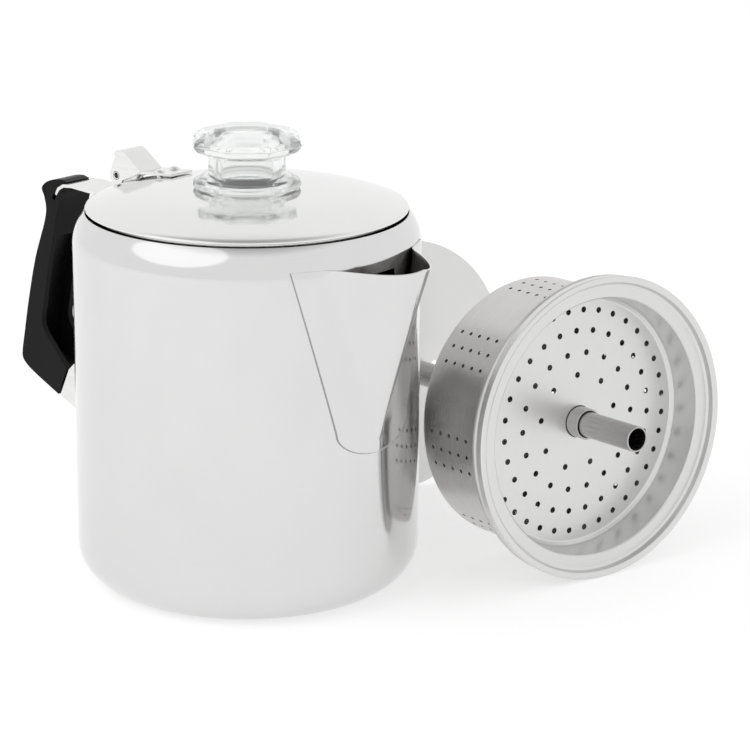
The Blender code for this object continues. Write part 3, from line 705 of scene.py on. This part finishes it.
def make_upper_bracket(place):
    line = handle_side((*STRAP_LINE, (65.3, 139.9)))
    plate = prism("strap_plate", in_metres(band(line, STRAP_THICK)), STRAP_HALF * MM)
    post = handle_side(((75.0, 140.0), (69.0, 143.8)))
    post += [(PIN[0] + r, PIN[1] + z) for r, z in arc((0, 0), 2.9, 215.0, -20.0, 28)]
    post += handle_side(((66.6, 143.4), (69.4, 139.8)))
    combine(plate, prism("knuckle", in_metres(post), 4.4 * MM), "UNION")
    tang = band(handle_side(TANG_LINE), STRAP_THICK)
    combine(plate, prism("tang", in_metres(tang), TAB_HALF * MM), "UNION")
    combine(plate, rods("drill", [place], SCREW_HOLE_R * MM, 22.0 * MM, 32))
    combine(plate, rods("drill", [pin_place()], PIN_HOLE_R * MM, 30.0 * MM, 32))
    soften(plate, 0.22 * MM, 2)
    shade(plate)
    piece(plate, "handle_upper_bracket", BRACKET)


def make_lower_bracket(place):
    outline = ((97.0, 53.7), (91.7, 65.4, 1.5), (88.0, 68.9, 2.0))
    outline += ((66.5, 72.0), (66.5, 38.0), (89.0, 50.2, 3.0))
    bracket = prism("bracket_channel", in_metres(rounded(handle_side(outline))), STRAP_HALF * MM)
    hollow = ((110.0, 60.6), (88.6, 51.6), (69.4, 41.2), (67.7, 41.2), (67.7, 90.0), (110.0, 90.0))
    combine(bracket, prism("channel", in_metres(handle_side(hollow)), (STRAP_HALF - 1.2) * MM))
    tongue = band(handle_side(((85.0, 49.1), (90.5, 57.5), (110.0, 66.6))), STRAP_THICK)
    combine(bracket, prism("tongue", in_metres(tongue), TAB_HALF * MM), "UNION")
    combine(bracket, rods("drill", [place], SCREW_HOLE_R * MM, 22.0 * MM, 32))
    soften(bracket, 0.22 * MM, 2)
    shade(bracket)
    piece(bracket, "handle_lower_bracket", BRACKET)


def make_screw(name, node, place, length):
    head = [(0.0, 1.7), (1.2, 1.62), (2.3, 1.3), (3.2, 0.7), (3.6, 0.15), (3.6, 0.0)]
    shank = [(1.9, 0.0), (1.9, 0.3 - length), (0.0, -length)]
    screw = lathe(name, head + shank, 48, closed=False)
    long = 4.2 * MM
    wide = 0.75 * MM
    deep = 1.6 * MM
    top = (0, 0, 1.7 * MM)
    cross = block("cross", (long, wide, deep), top)
    combine(cross, block("cross_b", (wide, long, deep), top), "UNION")
    combine(screw, cross)
    shade(screw)
    screw.matrix_world = place
    piece(screw, node, BRACKET)


def pin_place():
    return Matrix.Translation((PIN[0] * MM, 0.0, PIN[1] * MM)) @ Matrix.Rotation(math.pi / 2, 4, "X")


def make_pin():
    profile = [(1.1, 5.9), (1.2, 6.0), (1.4, 6.0), (1.5, 5.9)]
    profile += [(r, -along) for r, along in profile[::-1]]
    pin = shade(lathe("hinge_tube", profile, 48))
    pin.matrix_world = pin_place()
    piece(pin, "hinge_pin", BRACKET)


def make_handle():
    upper = screw_place(UPPER_SCREW, 0.0)
    lower = screw_place(LOWER_SCREW, FOOT_TILT)
    make_grip([upper, lower])
    make_upper_bracket(upper)
    make_lower_bracket(lower)
    make_screw("upper_screw", "handle_upper_screw", upper, SCREW_LENGTHS[0])
    make_screw("lower_screw", "handle_lower_screw", lower, SCREW_LENGTHS[1])
    make_pin()


# ---------------------------------------------------------------- lid

LID_R = 61.0
LID_EDGE_Z = 145.6
LID_CENTRE_Z = 153.4
KNOB_HOLE_R = 12.3
RIVET_X = -42.5
RIVET_Y = (-4.0, 4.0)
EAR_OUT_Y = 5.9
LUG_REACH = 14.8
LUG_Z = 151.2
LID_SHEET = 0.6
RIVET_HOLE_R = 1.5
LEAF_NEAR_R = 34.5
LEAF_FAR_R = 54.6
LEAF_LIFT = 1.5


def lid_top(r):
    """Height of the lid's domed top at a radius."""
    edge = LID_EDGE_Z + 2 * LID_SHEET
    return edge + (LID_CENTRE_Z - edge) * (1.0 - (r / LID_R) ** 3.6)


def rivet_places():
    return [Matrix.Translation((RIVET_X * MM, y * MM, lid_top(-RIVET_X) * MM)) for y in RIVET_Y]


def make_lid_plate():
    reach = LID_R - 0.7 - KNOB_HOLE_R
    stations = [KNOB_HOLE_R + reach * (i / 30) ** 0.7 for i in range(31)]
    top = [(r, lid_top(r)) for r in stations]
    hem = [(LID_R - 0.25, LID_EDGE_Z + 1.05), (LID_R, LID_EDGE_Z + 0.75), (LID_R, LID_EDGE_Z + 0.3)]
    hem += [(LID_R - 0.15, LID_EDGE_Z + 0.05), (LID_R - 0.4, LID_EDGE_Z), (LID_R - 1.0, LID_EDGE_Z + 0.05)]
    under = [(r, lid_top(r) - LID_SHEET) for r in [*stations[:-1], LID_R - 1.1]]
    plate = lathe("lid_shell", top + hem + under[::-1], ROUND_STEPS)
    notch = (8.0 * MM, 2 * (LUG_REACH + GAP) * MM, 8.0 * MM)
    combine(plate, block("notch", notch, (0, 0, LUG_Z * MM)))
    combine(plate, rods("drill", rivet_places(), RIVET_HOLE_R * MM, 8.0 * MM, 24))
    shade(plate, 30.0, weighted=False)
    piece(plate, "lid_plate", LID_STEEL)
    skirt = [(59.0, 146.0, 0.15), (59.6, 146.0, 0.15), (59.6, 140.6, 0.2), (59.3, 140.4), (59.0, 140.6, 0.2)]
    piece(shade(lathe("lid_ring", rounded(skirt), 192)), "lid_skirt", POLISHED)


def make_leaf():
    ears = handle_side(((66.4, 157.4), (64.4, 158.9), (61.8, 159.3), (60.0, 158.5)))
    ears += handle_side(((51.0, 152.2), (53.2, 150.8)))
    ears = rounded([(*p, 1.0) for p in ears[:4]] + ears[4:])
    ears += [(PIN[0] + r, PIN[1] + z) for r, z in arc((0, 0), 3.7, -25.0, -190.0, 24)]
    leaf = prism("hinge_leaf", in_metres(ears), EAR_OUT_Y * MM)
    inside = handle_side(((75.0, 157.9), (61.6, 157.9, 0.5), (60.2, 157.4, 0.5)))
    inside += handle_side(((49.0, 149.5), (49.0, 130.0), (75.0, 130.0)))
    combine(leaf, prism("room", in_metres(rounded(inside)), (EAR_OUT_Y - 1.0) * MM))
    reach = LEAF_FAR_R - LEAF_NEAR_R
    stations = [LEAF_FAR_R - reach * i / 16 for i in range(17)]
    lifts = [GAP + LEAF_LIFT * (max(0.0, r - LEAF_NEAR_R) / reach) ** 1.5 for r in stations]
    under = [(-r, lid_top(r) + lift) for r, lift in zip(stations, lifts)]
    over = [(x, z + 1.0) for x, z in under]
    combine(leaf, prism("strap", in_metres(over + under[::-1]), (EAR_OUT_Y - 0.2) * MM), "UNION")
    combine(leaf, rods("drill", [pin_place()], PIN_HOLE_R * MM, 30.0 * MM, 32))
    combine(leaf, rods("drill", rivet_places(), RIVET_HOLE_R * MM, 12.0 * MM, 24))
    soften(leaf, 0.25 * MM, 3)
    shade(leaf)
    piece(leaf, "lid_hinge_leaf", BRACKET)
    # The leaf's downward faces get the dark steel: a painted shadow under the strap.
    leaf.data.materials.append(PAINTED_SHADE_STEEL)
    for face in leaf.data.polygons:
        face.material_index = int(face.normal.z < -0.6)


def make_rivets():
    low = lid_top(-RIVET_X) - 1.5
    tall = 3.4
    for side, y in zip(("near", "far"), RIVET_Y):
        head = [(0.0, tall + 0.9), (0.8, tall + 0.85), (1.5, tall + 0.65), (2.0, tall + 0.3)]
        head += [(2.2, tall), (1.2, tall)]
        tail = [(1.2, 0.0), (2.0, 0.0), (2.0, -0.4), (1.8, -0.6), (0.0, -0.6)]
        rivet = shade(lathe("rivet_" + side, head + tail, 40, closed=False))
        rivet.matrix_world = Matrix.Translation((RIVET_X * MM, y * MM, low * MM))
        piece(rivet, "leaf_rivet_" + side, BRACKET)


def make_knob():
    body = [
        (0.0, 169.5), (14.6, 169.5), (14.6, 158.6, 1.2), (17.6, 157.8, 0.6), (18.0, 156.6, 0.5),
        (20.0, 156.2, 0.5), (20.4, 154.6, 0.5), (19.6, 153.8, 0.3), (11.9, 153.8),
        (11.9, 148.6, 0.4), (0.0, 148.6),
    ]
    knob = lathe("knob_body", rounded(body, closed=False), 128, closed=False)
    head = ((0.0, 176.0), (12.2, 176.0), (17.2, 175.0), (21.2, 172.6), (22.0, 170.5))
    head += ((20.4, 168.2), (16.6, 166.4), (14.4, 166.0), (0.0, 166.9))
    crown = lathe("crown", head, 8, closed=False)
    crown.data.transform(Matrix.Rotation(math.radians(22.5), 4, "Z"))
    soften(crown, 0.5 * MM, 3, 12.0)
    combine(knob, crown, "UNION")
    lugs = block("lugs", (2 * LUG_REACH * MM, 7.0 * MM, 2.0 * MM), (0, 0, LUG_Z * MM))
    combine(knob, soften(lugs, 0.3 * MM, 2, 50.0), "UNION")
    hollow = [(0.0, 166.8), (6.0, 166.4, 3.0), (10.0, 165.0, 1.5), (10.0, 147.0), (0.0, 147.0)]
    combine(knob, lathe("hollow", rounded(hollow, closed=False), 128, closed=False))
    shade(knob, 25.0)
    piece(knob, "knob", CLEAR)


# ---------------------------------------------------------------- brew unit

STEM_LENGTH = 150.8
TUBE_R = 5.0
DISC_R = 53.5
BASKET_LOW = 83.3
BASKET_R = 52.2
RIM_PLANE = 131.0
COVER_R = 59.7
WELL_R = 49.6
PLATE_DOME = 1.2
UNIT_RIM_CENTRE = (104.5, 88.2)
UNIT_HEADING = math.radians(-12.9)
COVER_RINGS = ((18.5, 9), (27.2, 18), (36.0, 27), (44.0, 36))
FLOOR_RINGS = ((14.0, 9), (24.0, 16), (34.0, 22), (44.0, 28))
INLET_RING = ((12.5, 2),)
SIDE_START = math.radians(-83.0)
SIDE_GROUPS = 8
SIDE_ROWS = (-1, 0, 1)
SIDE_ROW_PITCH = 6.6
SIDE_HEIGHTS = (7.5, 12.8, 18.1, 23.4, 28.7)
SIDE_HOLE_R = 0.78
FLOOR_HOLE_R = 0.9
COVER_HOLE_R = 1.2
INLET_HOLE_R = 2.0
TUBE_BORE_R = 4.3
GUIDE_R = 5.3
SHEET = 0.5
REST_GAP = 0.05
PLATE_DEPTH = 15.0
FLANGE_DEPTH = 2.7
BASKET_RIM_Z = 126.9


def unit_matrix():
    """Where the brew unit lies: on the rims of its disc and its cover, at UNIT_HEADING."""
    pitch = math.atan2(COVER_R - DISC_R, RIM_PLANE)
    level = math.cos(pitch)
    along = Vector((math.cos(UNIT_HEADING) * level, math.sin(UNIT_HEADING) * level, math.sin(pitch)))
    rim = Vector((*UNIT_RIM_CENTRE, COVER_R * level + REST_GAP)) * MM
    where = Matrix.Translation(rim - along * RIM_PLANE * MM)
    turn = Matrix.Rotation(UNIT_HEADING, 4, "Z") @ Matrix.Rotation(math.pi / 2 - pitch, 4, "Y")
    return where @ turn


def ring_places(rings, height):
    """Upright places on rings given as (radius, count), in mm."""
    places = []
    for radius, count in rings:
        for i in range(count):
            a = TURN * (i + 0.5) / count
            place = Vector((radius * math.cos(a), radius * math.sin(a), height))
            places.append(Matrix.Translation(place * MM))
    return places


def side_places():
    """Places through the basket's wall, in groups of rows."""
    places = []
    for group in range(SIDE_GROUPS):
        for row in SIDE_ROWS:
            angle = SIDE_START - group * TURN / SIDE_GROUPS + row * SIDE_ROW_PITCH / BASKET_R
            for rise in SIDE_HEIGHTS:
                hole = (BASKET_R * MM, 0, (BASKET_LOW + rise) * MM)
                turn = Matrix.Rotation(angle, 4, "Z") @ Matrix.Translation(hole)
                places.append(turn @ Matrix.Rotation(math.pi / 2, 4, "Y"))
    return places


def unit_piece(obj, node, finish):
    """A piece made about local Z and laid down with the brew unit."""
    obj.matrix_world = unit_matrix()
    return piece(obj, node, finish)


def make_stem():
    tube = [(TUBE_BORE_R, 1.5, 0.1), (TUBE_R, 1.5, 0.25)]
    tube += [(TUBE_R, STEM_LENGTH, 0.3), (TUBE_BORE_R, STEM_LENGTH, 0.25)]
    unit_piece(shade(lathe("stem_pipe", rounded(tube), SMALL_STEPS)), "stem_tube", TUBE_STEEL)
    over = [(GUIDE_R, 10.4), (6.4, 10.4, 0.3), (6.7, 7.8, 0.8), (14.0, 6.8, 6.0), (46.0, 3.0, 8.0)]
    over += [(51.4, 1.7, 1.5), (53.4, 0.7, 0.3)]
    under = [(DISC_R, 0.0, 0.1), (52.9, 0.0, 0.1), (51.1, 1.1, 1.0)]
    under += [(46.0, 2.4, 6.0), (13.6, 6.2, 5.0), (GUIDE_R, 7.0)]
    base = lathe("stem_disc", rounded(over + under), 192)
    combine(base, rods("drill", ring_places(INLET_RING, 6.0), INLET_HOLE_R * MM, 6.0 * MM, 24))
    shade(base)
    unit_piece(base, "stem_base", COVER_STEEL)
    stop = [(GUIDE_R, 79.6), (6.6, 79.6, 0.3), (6.9, 80.4, 0.3), (6.3, 81.2, 0.3)]
    stop += [(6.9, 82.0, 0.3), (6.6, 82.9, 0.3), (GUIDE_R, 82.9)]
    unit_piece(shade(lathe("stem_stop", rounded(stop), SMALL_STEPS)), "stem_stop_ring", TUBE_STEEL)


def make_basket():
    low = BASKET_LOW
    r = BASKET_R
    rim = BASKET_RIM_Z
    inside = [(6.5, low + SHEET), (r - 2.2, low + SHEET, 1.2), (r - SHEET, low + 2.2, 1.2)]
    inside += [(r - SHEET, rim, 0.3), (58.6, rim, 0.4), (59.3, rim - 0.7, 0.4), (59.3, rim - 1.9, 0.2)]
    outside = [(58.8, rim - 1.9, 0.1), (58.4, rim - SHEET, 0.1), (r, rim - SHEET, 0.5)]
    outside += [(r, low + 2.0, 1.6), (r - 2.0, low, 1.6), (6.5, low)]
    shell = lathe("basket_shell_sheet", rounded(inside + outside), ROUND_STEPS)
    shell.data.transform(Matrix.Rotation(SIDE_START - TURN / (2 * ROUND_STEPS), 4, "Z"))
    combine(shell, rods("drill", ring_places(FLOOR_RINGS, low), FLOOR_HOLE_R * MM, 4.0 * MM, 12))
    combine(shell, rods("drill", side_places(), SIDE_HOLE_R * MM, 4.0 * MM, 14))
    shade(shell, 32.0)
    unit_piece(shell, "basket_shell", BRUSHED)
    sleeve = [(GUIDE_R, low, 0.1), (6.2, low), (6.2, low + 30.0, 0.3), (GUIDE_R, low + 30.0, 0.2)]
    unit_piece(shade(lathe("basket_guide", rounded(sleeve), SMALL_STEPS)), "basket_sleeve", TUBE_STEEL)


def make_cover():
    plate = RIM_PLANE - PLATE_DEPTH
    top = RIM_PLANE
    flange = top - FLANGE_DEPTH
    well = WELL_R
    low = plate - PLATE_DOME
    upper = [(6.4, plate), (well - 1.4, low, 0.8), (well, low + 1.4, 0.8), (well + 1.0, flange - 0.6, 0.4)]
    upper += [(well + 1.6, flange, 0.4), (55.6, flange, 0.5), (56.4, top - 2.1, 0.3)]
    upper += [(57.0, top - 0.3, 0.3), (57.5, top, 0.3), (59.2, top + 0.2, 0.5)]
    upper += [(COVER_R, top - 0.3, 0.2), (59.4, top - 3.4, 0.15)]
    lower = [(58.9, top - 3.4, 0.1), (59.1, top - 0.5, 0.1), (57.7, top - 0.6, 0.1)]
    lower += [(56.9, top - 2.4, 0.2), (55.9, flange - SHEET, 0.2), (well + 2.3, flange - SHEET, 0.2)]
    lower += [(well + 1.6, top - 3.7, 0.2), (well + 0.5, low + 1.2, 0.6), (well - 1.1, low - SHEET, 0.6)]
    lower.append((6.4, plate - SHEET))
    cover = lathe("cover_sheet", rounded(upper + lower), ROUND_STEPS)
    combine(cover, rods("drill", ring_places(COVER_RINGS, plate - 0.9), COVER_HOLE_R * MM, 4.0 * MM, 20))
    shade(cover, 32.0)
    unit_piece(cover, "basket_cover", COVER_STEEL)
    collar = [(GUIDE_R, plate - SHEET), (6.1, plate - SHEET)]
    collar += [(6.1, plate + 6.2, 0.35), (GUIDE_R, plate + 6.2, 0.25)]
    unit_piece(shade(lathe("cover_guide", rounded(collar), SMALL_STEPS)), "cover_collar", TUBE_STEEL)


# ---------------------------------------------------------------- studio

# Places and sizes in the studio are in metres.
FLOOR_WHITE = (0.46, 0.46, 0.46)
FLOOR_DARK = (0.45, 0.45, 0.45)
FLOOR_LIGHT = (0.47, 0.47, 0.47)
FLOOR_GLOW = 0.6
CAMERA_PLACE = (0.732887, -0.772302, 0.392129)
CAMERA_FORWARD = (-0.62796, 0.72553, -0.28156)
CAMERA_UP = (-0.19091, 0.20712, 0.95951)
CAMERA_LENS = 138.82
KEY_PLACE = (-0.2, -1.0, 0.95)
KEY_TARGET = (-0.05, -0.2, 0.03)
KEY_SIZE = (1.5, 1.25)
KEY_STEPS = (1.0, 0.86, 0.72, 0.58)
KEY_POWER = 6.5
SKY_STRENGTH = (1.0, 0.42)
SKY_RANGE = (0.74, 1.0)


def make_floor():
    floor = block("studio_floor", (6.0, 6.0, 0.02), (0.0, 0.0, -0.0101))
    made, tree, shader = new_material("floor_white", FLOOR_WHITE, 0.7)
    shader.inputs["Emission Color"].default_value = (1.0, 1.0, 1.0, 1.0)
    shader.inputs["Emission Strength"].default_value = FLOOR_GLOW
    shader.inputs["Specular IOR Level"].default_value = 0.0
    cloud = noise(tree, stretched(tree, (6.0, 6.0, 6.0)), 1.0, 2.0)
    tint(tree, shader, remap(tree, cloud, 0.0, 1.0), FLOOR_DARK, FLOOR_LIGHT)
    floor.data.materials.append(made)


def soft_light(name, size, power):
    data = bpy.data.lights.new(name, "AREA")
    data.shape = "ELLIPSE"
    data.size = size[0]
    data.size_y = size[1]
    data.energy = power
    obj = bpy.data.objects.new(name, data)
    bpy.context.scene.collection.objects.link(obj)
    obj.location = KEY_PLACE
    obj.rotation_euler = (Vector(KEY_TARGET) - Vector(KEY_PLACE)).to_track_quat("-Z", "Y").to_euler()


def make_studio():
    scene = bpy.context.scene
    world = bpy.data.worlds.new("studio")
    scene.world = world
    world.use_nodes = True
    back = world.node_tree.nodes["Background"]
    back.inputs["Color"].default_value = (1.0, 1.0, 1.0, 1.0)
    direction = world.node_tree.nodes.new("ShaderNodeTexCoord")
    parts = world.node_tree.nodes.new("ShaderNodeSeparateXYZ")
    world.node_tree.links.new(direction.outputs["Generated"], parts.inputs["Vector"])
    strength = remap(world.node_tree, parts.outputs["Z"], *SKY_STRENGTH, *SKY_RANGE)
    world.node_tree.links.new(strength, back.inputs["Strength"])
    make_floor()
    for share in KEY_STEPS:
        size = (KEY_SIZE[0] * share, KEY_SIZE[1] * share)
        soft_light("key_%d" % round(100 * share), size, KEY_POWER / len(KEY_STEPS))
    scene.view_settings.view_transform = "Standard"


def make_camera():
    data = bpy.data.cameras.new("camera")
    data.sensor_width = 36.0
    data.lens = CAMERA_LENS
    camera = bpy.data.objects.new("camera", data)
    bpy.context.scene.collection.objects.link(camera)
    forward = Vector(CAMERA_FORWARD).normalized()
    right = forward.cross(Vector(CAMERA_UP)).normalized()
    up = right.cross(forward)
    turn = Matrix((right, up, -forward)).transposed().to_4x4()
    camera.matrix_world = Matrix.Translation(CAMERA_PLACE) @ turn
    bpy.context.scene.camera = camera


make_camera()
make_studio()
make_pot()
make_spout()
make_handle()
make_lid_plate()
make_leaf()
make_rivets()
make_knob()
make_stem()
make_basket()
make_cover()
